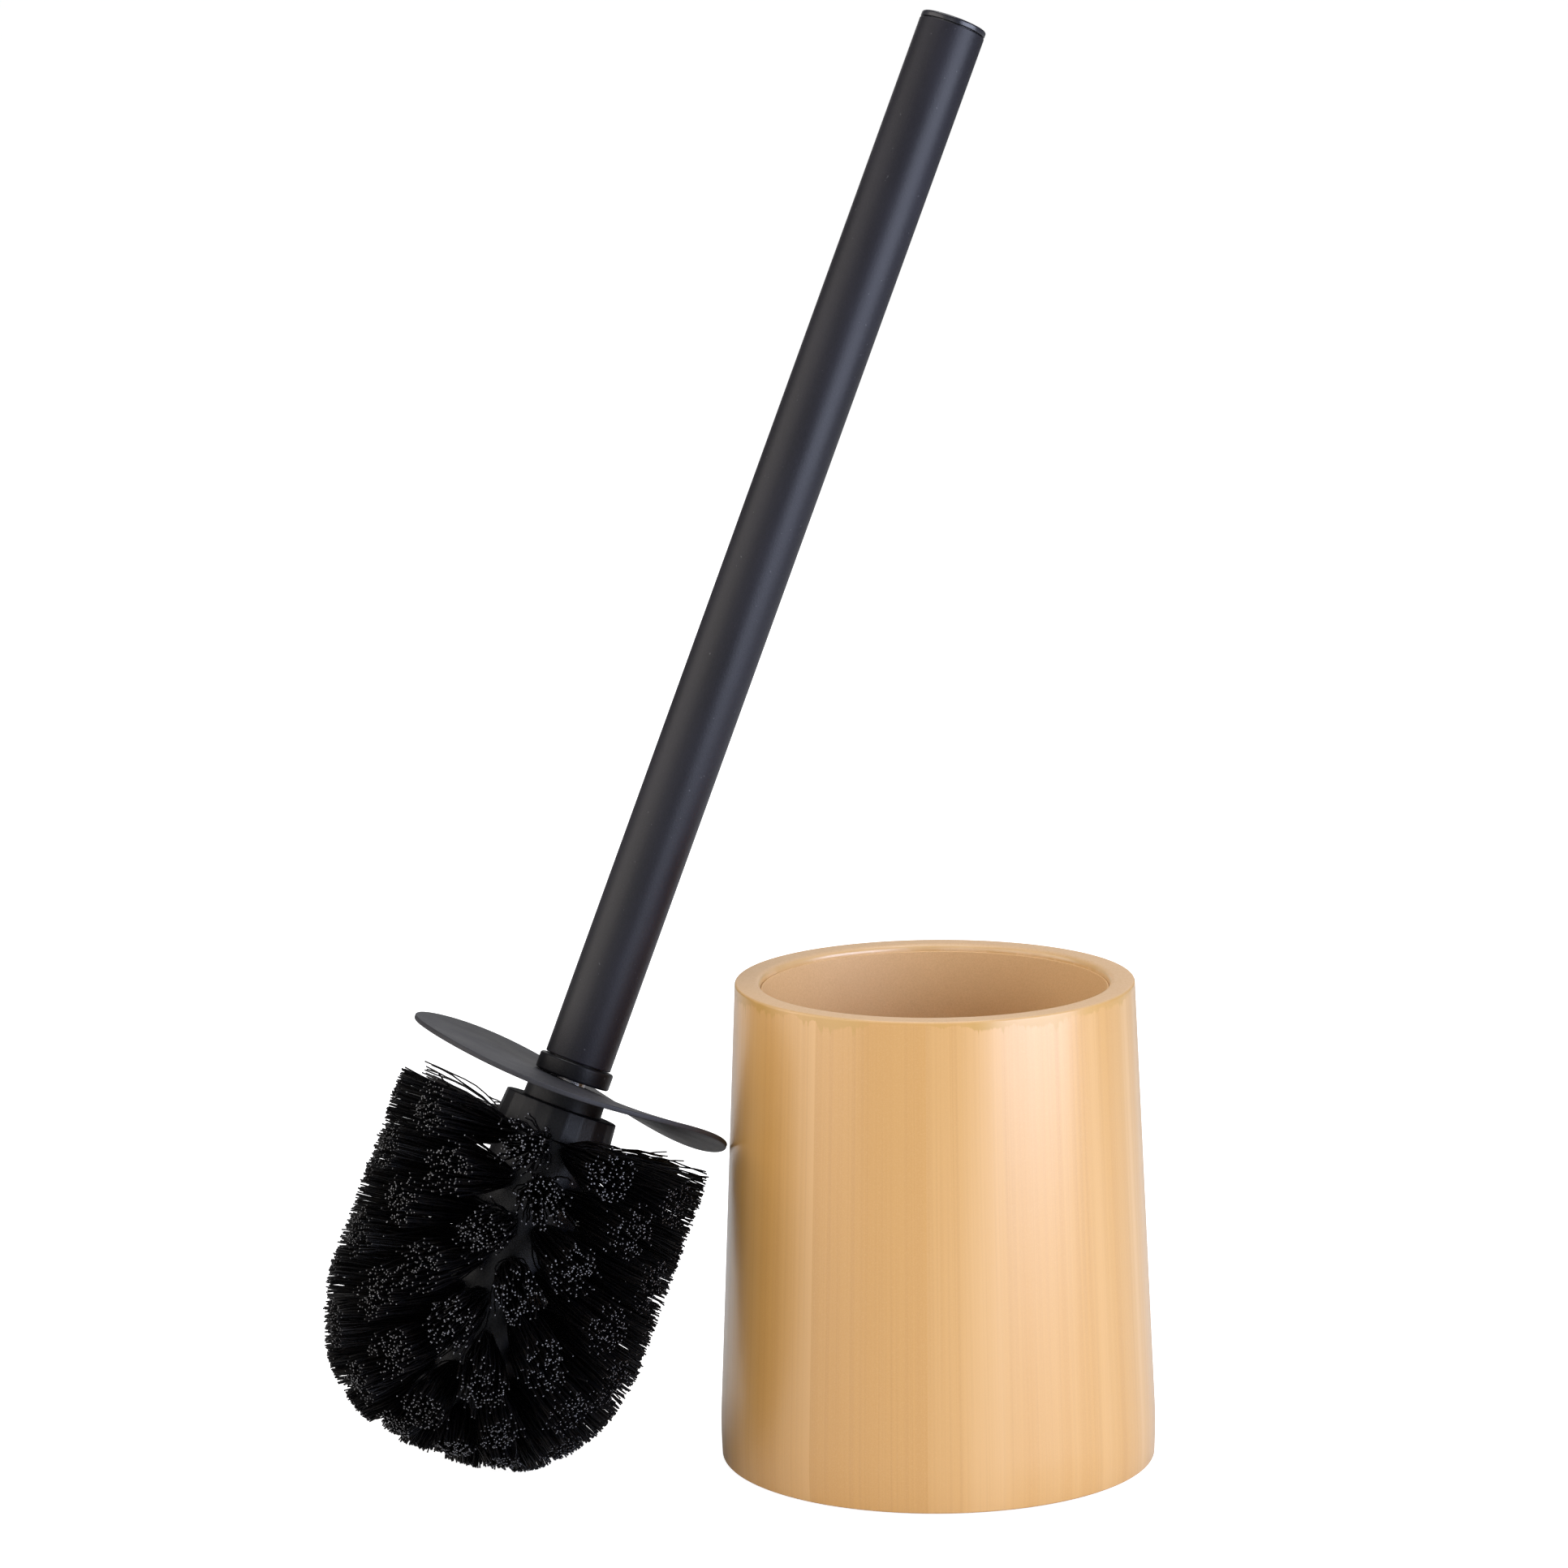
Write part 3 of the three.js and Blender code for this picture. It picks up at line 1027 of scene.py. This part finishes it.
    def _ends(self, bench: NodeBench, inputs: bpy.types.bpy_prop_collection) -> dict[str, Socket]:
        """Works out each strand's root, its tip on the trim, its drift and its place in the tuft.

        Args:
            bench: The tree under construction.
            inputs: The tree's inputs.

        Returns:
            Sockets of the root, the tip, the drift and the bulge.
        """
        index = bench.first("GeometryNodeInputIndex")
        tuft = bench.math("FLOOR", bench.math("DIVIDE", index, inputs["Strands"]))
        seed = inputs["Seed"]
        wobble = self._chance(bench, seed, 1, (-self.turn_play, self.turn_play), tuft)
        share = bench.math("DIVIDE", bench.math("ADD", tuft, inputs["Offset"]), inputs["Count"])
        angle = bench.math("ADD", bench.math("MULTIPLY", share, 2 * math.pi), wobble)
        cosine, sine = bench.math("COSINE", angle), bench.math("SINE", angle)
        outward = bench.combine(cosine, sine, 0.0)
        sideways = bench.combine(bench.math("MULTIPLY", sine, -1.0), cosine, 0.0)
        sag = self._chance(bench, seed, 2, (-self.droop_play, self.droop_play), tuft)
        droop = bench.math("ADD", inputs["Droop"], sag)
        fall, reach = bench.math("SINE", droop), bench.math("COSINE", droop)
        along = bench.total(bench.scaled(outward, reach), bench.combine(0.0, 0.0, bench.math("MULTIPLY", fall, -1.0)))
        across = bench.total(bench.scaled(outward, fall), bench.combine(0.0, 0.0, reach))
        spread = bench.math("POWER", self._chance(bench, seed, 3), self.crowding)
        phase = self._chance(bench, seed, 4, (0.0, 2 * math.pi))
        aside = bench.math("MULTIPLY", spread, bench.math("COSINE", phase))
        above = bench.math("MULTIPLY", spread, bench.math("SINE", phase))
        offset = bench.total(bench.scaled(sideways, aside), bench.scaled(across, above))
        middle = bench.total(bench.scaled(outward, inputs["Root Radius"]),
                             bench.combine(0.0, 0.0, inputs["Root Height"]))
        root = bench.total(middle, bench.scaled(offset, inputs["Root Spread"]))
        stray = bench.math("POWER", self._chance(bench, seed, 5), self.stray_rarity)
        loose = bench.math("MULTIPLY_ADD", stray, inputs["Stray"], self.looseness)
        jitter = bench.scaled(self._direction(bench, seed, 6), bench.math("MULTIPLY", loose, MM))
        aim = bench.total(middle, bench.scaled(along, self.fan_length * MM),
                          bench.scaled(offset, inputs["Tip Spread"]), jitter)
        heading = bench.vector("NORMALIZE", bench.vector("SUBTRACT", aim, root))
        form = bench.add("GeometryNodeObjectInfo", {"Object": inputs["Trim"]}).outputs["Geometry"]
        line = {"Target Geometry": form, "Source Position": root, "Ray Direction": heading,
                "Ray Length": self.longest * MM}
        reached = bench.add("GeometryNodeRaycast", line, data_type="FLOAT").outputs["Hit Distance"]
        early = bench.math("POWER", self._chance(bench, seed, 9), self.short_rarity)
        short = bench.math("MULTIPLY", early, -self.short_cut * MM)
        ragged = self._chance(bench, seed, 10, (-self.ragged_cut * MM, self.ragged_cut * MM))
        length = bench.math("ADD", bench.math("ADD", reached, short), ragged)
        tip = bench.total(root, bench.scaled(heading, length))
        drift = bench.scaled(self._direction(bench, seed, 11), bench.math("MULTIPLY", loose, self.drift * MM))
        bulge = bench.scaled(offset, inputs["Belly"])
        return {"Root": root, "Tip": tip, "Drift": drift, "Bulge": bulge}

    def _direction(self, bench: NodeBench, seed: Socket, shift: int) -> Socket:
        """A random vector for each strand, with each of its parts from -1 to 1."""
        parts = [self._chance(bench, seed, 20 * shift + part, (-1.0, 1.0)) for part in range(3)]
        return bench.combine(*parts)

    def _path(self, bench: NodeBench, inputs: bpy.types.bpy_prop_collection,
              held: bpy.types.Node) -> Socket:
        """Works out where each point of a strand lies: a nearly straight line with a crimp.

        Args:
            bench: The tree under construction.
            inputs: The tree's inputs.
            held: The node that carries each strand's ends.

        Returns:
            The position's socket.
        """
        share = bench.add("GeometryNodeSplineParameter").outputs["Factor"]
        root, tip, drift, bulge = (held.outputs[name] for name in ("Root", "Tip", "Drift", "Bulge"))
        straight = bench.total(root, bench.scaled(bench.vector("SUBTRACT", tip, root), share))
        bow = bench.math("SINE", bench.math("MULTIPLY", share, math.pi))
        parts = bench.add("ShaderNodeSeparateXYZ", {0: drift}).outputs
        growth = bench.math("MULTIPLY", bench.remap(share, (0.0, self.crimp_start)), inputs["Crimp"])
        waves = []
        for part, turns in zip(parts, self.crimp_turns):
            phase = bench.math("MULTIPLY", part, 2 * math.pi / MM)
            swing = bench.math("SINE", bench.math("MULTIPLY_ADD", share, 2 * math.pi * turns, phase))
            waves.append(bench.math("MULTIPLY", swing, growth))
        return bench.total(straight, bench.scaled(bench.total(drift, bulge), bow), bench.combine(*waves))

    def grow(self, name: str, tree: bpy.types.NodeTree, ring: TuftRing, trim: Piece,
             material: Material) -> bpy.types.Mesh:
        """Grows one ring and bakes it to a plain mesh in the brush's frame.

        Args:
            name: The mesh's name.
            tree: The geometry tree.
            ring: The ring's sizes.
            trim: The form that the tips are trimmed to.
            material: The filaments' material.

        Returns:
            The ring's mesh.
        """
        seedbed = add_object(name + "_seedbed", bpy.data.meshes.new(name + "_seedbed"))
        modifier = seedbed.modifiers.new("tufts", "NODES")
        modifier.node_group = tree
        values = {
            "Count": ring.count,
            "Strands": self.strands,
            "Root Radius": ring.root_radius * MM,
            "Root Height": ring.root_height * MM,
            "Droop": math.radians(ring.droop),
            "Offset": ring.offset,
            "Root Spread": self.root_spread * MM,
            "Tip Spread": self.tip_spread * MM,
            "Belly": self.belly * MM,
            "Strand Radius": self.strand_radius * MM,
            "Crimp": self.crimp * MM,
            "Stray": ring.stray,
            "Seed": ring.seed,
            "Trim": trim,
            "Material": material,
        }
        for key, value in values.items():
            modifier[self.numbers[key]] = value
        graph = bpy.context.evaluated_depsgraph_get()
        mesh = bpy.data.meshes.new_from_object(seedbed.evaluated_get(graph), depsgraph=graph)
        mesh.name = name
        seedbed.modifiers.remove(modifier)
        bpy.data.objects.remove(seedbed)
        return mesh


@dataclass
class BrushHead:
    """The core with its neck, and the tufts around and under it. Sizes in millimetres."""

    place: BrushFrame
    sleeve_radius: float = 10.65
    neck_top: float = -4.9
    neck_bottom: float = -13.2
    neck_top_radius: float = 15.2
    neck_bottom_radius: float = 15.9
    neck_facets: int = 22
    core_radius: float = 14.2
    core_corner: float = 8.0
    bore_radius: float = 4.3
    bore_depth: float = 17.0
    rows: int = 8
    per_row: int = 10
    first_turn: float = 7.0
    first_root: float = -15.4
    root_step: float = 11.2
    root_step_shrink: float = 0.13
    first_droop: float = 3.0
    droop_growth: float = 0.72
    trim_radius: float = 43.3
    trim_shoulder: float = -62.0
    trim_corner_centre: float = 12.0
    trim_corner_width: float = 31.3
    trim_corner_depth: float = 39.2
    trim_point: float = 0.4
    trim_top: float = 10.0
    root_depth: float = 0.6
    strays: tuple[float, ...] = (4.0, 3.2, 3.2, 3.2, 3.2, 3.2, 4.8, 4.8)
    first_seed: int = 11
    end_tufts: int = 5
    end_ring_radius: float = 6.4
    end_root_lift: float = 0.8

    def core(self) -> Piece:
        """Makes the moulded core: sleeve, fluted neck and round stem with a blind bore.

        Returns:
            The core.
        """
        bottom, top = self.place.heights("head_core")
        around = self.neck_facets * 8
        corners = [
            (0.0, bottom, 0.0),
            (self.core_radius, bottom, self.core_corner),
            (self.core_radius, self.neck_bottom - 0.4, 0.0),
            (self.neck_bottom_radius, self.neck_bottom, 0.25),
            (self.neck_top_radius, self.neck_top, 0.3),
            (self.sleeve_radius + 0.15, self.neck_top, 0.25),
            (self.sleeve_radius, top, 0.4),
            (self.bore_radius, top, 0.3),
            (self.bore_radius, -self.bore_depth, 0.0),
            (0.0, -self.bore_depth, 0.0),
        ]
        core = revolve("head_stem", corners, False, Matrix.Identity(4), around=around, steps=6)
        self._flute(core.data)
        core.data.transform(self.place.matrix)
        core.data.set_sharp_from_angle(angle=math.radians(28))
        return core

    def _flute(self, mesh: bpy.types.Mesh) -> None:
        """Presses shallow flat facets into the neck's side.

        Args:
            mesh: The core's mesh in the brush's frame.
        """
        facet = 2 * math.pi / self.neck_facets
        for vertex in mesh.vertices:
            x, y, z = vertex.co
            radius = math.hypot(x, y)
            on_neck = self.neck_bottom - 0.5 < z / MM < self.neck_top + 0.1
            if on_neck and radius > (self.core_radius + 0.5) * MM:
                turn = math.atan2(y, x) % facet - facet / 2
                flat = math.cos(facet / 2) / math.cos(turn)
                vertex.co.x = x * flat
                vertex.co.y = y * flat

    def trim_form(self) -> Piece:
        """Makes the surface that the tips are trimmed to.

        Returns:
            A helper object, to be removed after growing.
        """
        outline = [(0.0, self.trim_top, 0.0), (self.trim_radius, self.trim_top, 0.0),
                   (self.trim_radius, self.trim_shoulder, 0.0)]
        steps = 24
        for step in range(1, steps + 1):
            angle = 0.5 * math.pi * step / steps
            radius = self.trim_corner_centre + self.trim_corner_width * math.cos(angle)
            outline.append((radius, self.trim_shoulder - self.trim_corner_depth * math.sin(angle), 0.0))
        outline.append((0.0, self.trim_shoulder - self.trim_corner_depth - self.trim_point, 0.0))
        return revolve("trim_form", outline, False, Matrix.Identity(4), around=96)

    def ring(self, row: int) -> TuftRing:
        """The sizes of one row around the core.

        Args:
            row: The row, counted from the neck.

        Returns:
            The row's ring of tufts.
        """
        height = self.first_root - self.root_step * row + self.root_step_shrink * row * row
        droop = self.first_droop + self.droop_growth * row * row
        offset = (row % 2) / 2 + self.first_turn * self.per_row / 360
        return TuftRing(self.per_row, self.core_radius - self.root_depth, height, droop, offset,
                        self.first_seed + row, self.strays[row])

    def end_rings(self) -> list[TuftRing]:
        """The rings on the core's lower end: tilted tufts around a middle one.

        Returns:
            Both rings.
        """
        bottom = self.place.heights("head_core")[0] + self.end_root_lift
        return [
            TuftRing(self.end_tufts, self.end_ring_radius, bottom, droop=66.0, offset=0.3, seed=41),
            TuftRing(1, 0.01, bottom, droop=89.0, offset=0.0, seed=42),
        ]

    def dress(self) -> None:
        """Makes and dresses the core and every row of tufts."""
        moulded = DarkCoat("head_moulding", colour(0.003, 0.003, 0.005), colour(0.010, 0.011, 0.016),
                           roughness=(0.36, 0.55), grain=1300.0, relief=0.25, specular=0.32, streak=0.12)
        dress(self.core(), Body.HEAD, Slot.CORE, moulded.material(self.place), "head_core")
        grower = TuftGrower()
        tree = grower.tree()
        trim = self.trim_form()
        filament = BristleFilament(grower.cut_mark).material()
        for row in range(self.rows):
            name = f"tuft_row_{row + 1}"
            mesh = grower.grow(name, tree, self.ring(row), trim, filament)
            self._plant(mesh, name, filament, f"bristle_row_{row + 1}")
        shape = bmesh.new()
        for number, ring in enumerate(self.end_rings()):
            shape.from_mesh(grower.grow(f"end_{number}", tree, ring, trim, filament))
        mesh = bpy.data.meshes.new("tuft_end")
        shape.to_mesh(mesh)
        shape.free()
        mesh.materials.append(filament)
        self._plant(mesh, "tuft_end", filament, "bristle_end")
        bpy.data.objects.remove(trim)
        bpy.data.node_groups.remove(tree)

    def _plant(self, mesh: bpy.types.Mesh, name: str, material: Material, node: str) -> None:
        """Sets a grown ring of tufts on the head.

        Args:
            mesh: The ring's mesh in the brush's frame.
            name: The piece's name.
            material: The filaments' material.
            node: The CAD node that it replaces.
        """
        mesh.transform(self.place.matrix)
        dress(add_object(name, mesh), Body.HEAD, Slot.BRISTLES, material, node)


@dataclass(frozen=True)
class SoftLight:
    """A square soft light: where it stands, how large it is and how bright."""

    name: str
    place: tuple[float, float, float]
    size: tuple[float, float]
    power: float
    tint: tuple[float, float, float] = (1.0, 1.0, 1.0)

    def hang(self, target: Vector) -> None:
        """Makes the light and points it at the object.

        Args:
            target: What it points at.
        """
        data = bpy.data.lights.new(self.name, "AREA")
        data.shape = "RECTANGLE"
        data.size, data.size_y = self.size
        data.energy = self.power
        data.color = self.tint
        light = add_object(self.name, data)
        light.location = self.place
        light.rotation_euler = (target - light.location).to_track_quat("-Z", "Y").to_euler()


@dataclass
class Studio:
    """Plain pale floor, soft light and the camera. Metres and degrees."""

    camera_place: tuple[float, float, float] = (-0.03894, -1.447, 0.4351)
    pitch: float = 9.95
    roll: float = -0.731
    lens: float = 129.04
    sensor: float = 36.0
    floor_size: float = 40.0
    floor_drop: float = 0.0002
    floor_tone: float = 0.70
    floor_glow: float = 0.92
    sky_glow: float = 0.12
    sky_white: float = 1.1
    target: tuple[float, float, float] = (-0.03, 0.0, 0.15)

    def camera(self) -> None:
        """Makes the camera."""
        data = bpy.data.cameras.new("camera")
        data.lens = self.lens
        data.sensor_width = self.sensor
        camera = add_object("camera", data)
        pitch, roll = math.radians(self.pitch), math.radians(self.roll)
        forward = Vector((0, math.cos(pitch), -math.sin(pitch)))
        above = Vector((0, math.sin(pitch), math.cos(pitch)))
        aside = Vector((1, 0, 0))
        right = aside * math.cos(roll) + above * math.sin(roll)
        top = above * math.cos(roll) - aside * math.sin(roll)
        turn = Matrix((right, top, -forward)).transposed().to_4x4()
        camera.matrix_world = Matrix.Translation(self.camera_place) @ turn
        bpy.context.scene.camera = camera

    def floor(self) -> None:
        """Makes the pale floor just under the object."""
        half = self.floor_size / 2
        mesh = bpy.data.meshes.new("floor")
        square = [(-half, -half), (half, -half), (half, half), (-half, half)]
        mesh.from_pydata([(x, y, -self.floor_drop) for x, y in square], [], [(0, 1, 2, 3)])
        finish = Finish("pale_floor", 0.9, 0.1)
        finish.set("Base Color", colour(self.floor_tone, self.floor_tone, self.floor_tone))
        finish.set("Emission Color", colour(1.0, 1.0, 1.0))
        seen = finish.add("ShaderNodeLightPath").outputs["Is Camera Ray"]
        finish.set("Emission Strength", finish.math("MULTIPLY", seen, self.floor_glow))
        mesh.materials.append(finish.material)
        add_object("floor", mesh)

    def light(self) -> None:
        """Makes the sky and the soft lights."""
        world = bpy.data.worlds.new("studio")
        world.use_nodes = True
        bench = NodeBench(world.node_tree)
        seen = bench.add("ShaderNodeLightPath").outputs["Is Camera Ray"]
        glow = bench.remap(seen, (0.0, 1.0), (self.sky_glow, self.sky_white))
        sky = bench.add("ShaderNodeBackground", {"Color": colour(1.0, 1.0, 1.0), "Strength": glow})
        output = bench.add("ShaderNodeOutputWorld")
        bench.plug(output.inputs["Surface"], sky.outputs[0])
        bpy.context.scene.world = world
        lights = [
            SoftLight("key", (1.14, -0.76, 0.40), (1.35, 1.0), 24.5, (0.87, 0.95, 1.20)),
            SoftLight("left_fill", (-1.46, -0.40, 0.50), (2.0, 1.8), 23.0, (1.06, 1.0, 0.94)),
            SoftLight("front_fill", (-0.60, -1.90, 0.70), (1.4, 1.2), 5.0),
            SoftLight("top", (0.0, 0.2, 1.8), (1.2, 1.2), 18.0),
            SoftLight("backdrop", (0.0, 1.9, 0.65), (1.4, 0.9), 3.2),
        ]
        for light in lights:
            light.hang(Vector(self.target))

    def build(self) -> None:
        """Makes the whole studio."""
        self.camera()
        self.floor()
        self.light()
        bpy.context.scene.view_settings.view_transform = "Standard"


def main() -> None:
    """Builds and dresses the object, sub-assembly by sub-assembly, and its studio."""
    logging.basicConfig(level=logging.INFO, format="%(message)s")
    brush = BrushFrame.from_joint("head_unscrew")
    Studio().build()
    BambooHolder().dress()
    LiftOutCup().dress()
    BrushHandle(brush).dress()
    SplashGuard(brush).dress()
    BrushHead(brush).dress()


if __name__ == "__main__":
    main()
